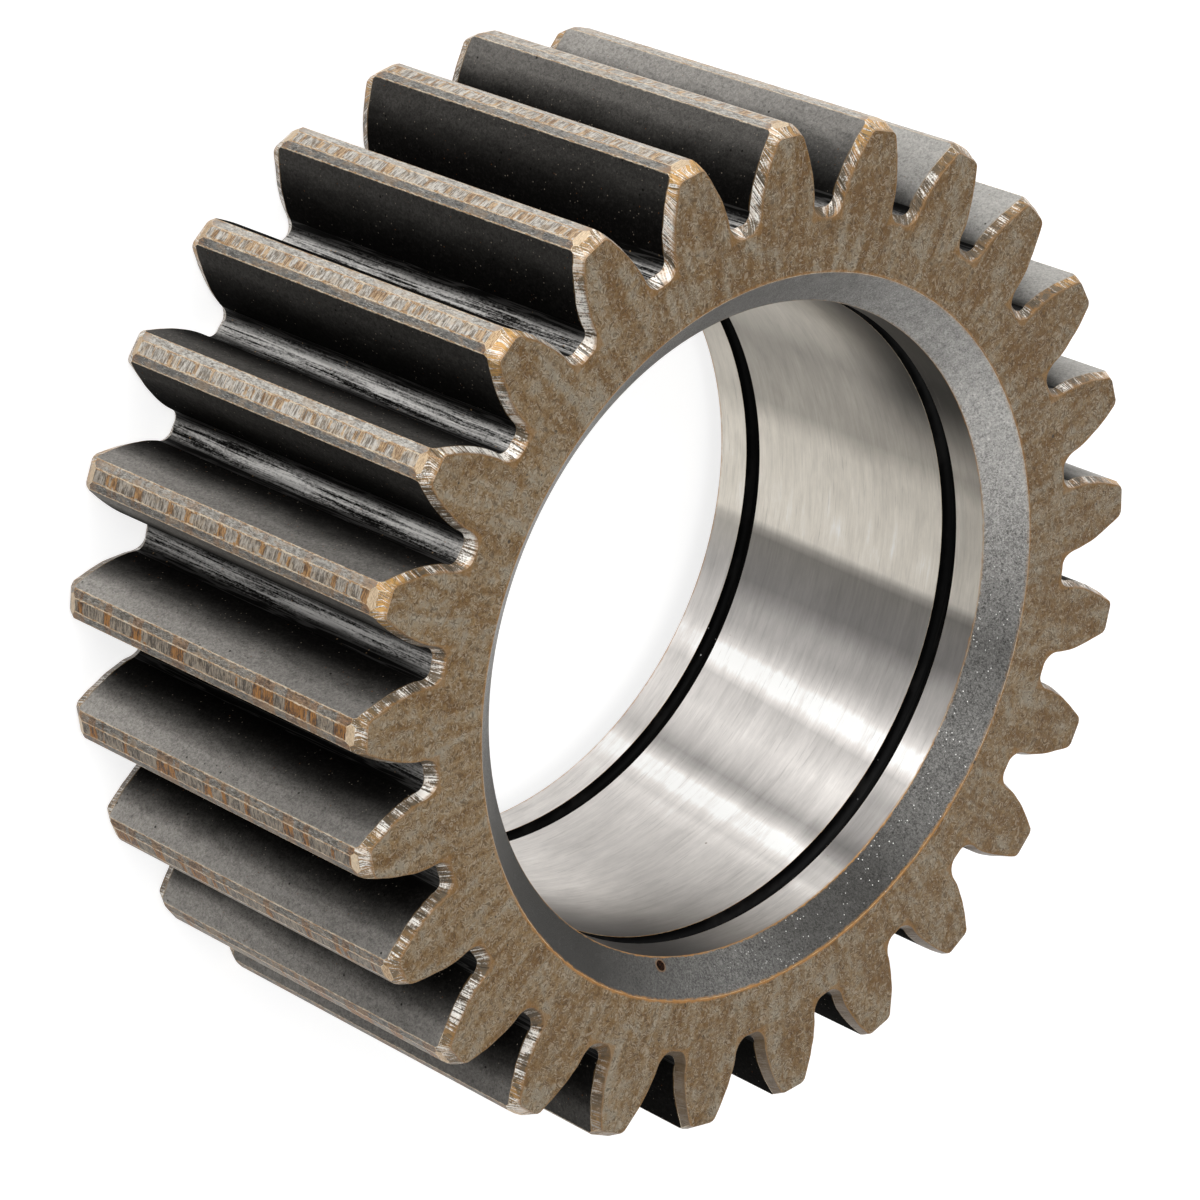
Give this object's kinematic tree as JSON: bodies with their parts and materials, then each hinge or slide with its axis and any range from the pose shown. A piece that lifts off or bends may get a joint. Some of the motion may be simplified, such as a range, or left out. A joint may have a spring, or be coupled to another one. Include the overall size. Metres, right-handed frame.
{
  "type": "planet gear",
  "caption": "Spur planet gear with a wide plain bore, two snap-ring grooves in it and large bore chamfers.",
  "frame": {"origin": "on the bore axis, half way along the face width", "axes": "+Z along the bore axis towards the front end face; a tooth is centred on +X; the gear lies on its back end face"},
  "size_m": [0.2193, 0.2198, 0.095],
  "materials": {
    "gear_steel": "machined steel, end faces browned by oxide, flanks dark grey, bore ground bright"
  },
  "bodies": {
    "root": {"planet_gear": "gear_steel"}
  },
  "joints": []
}
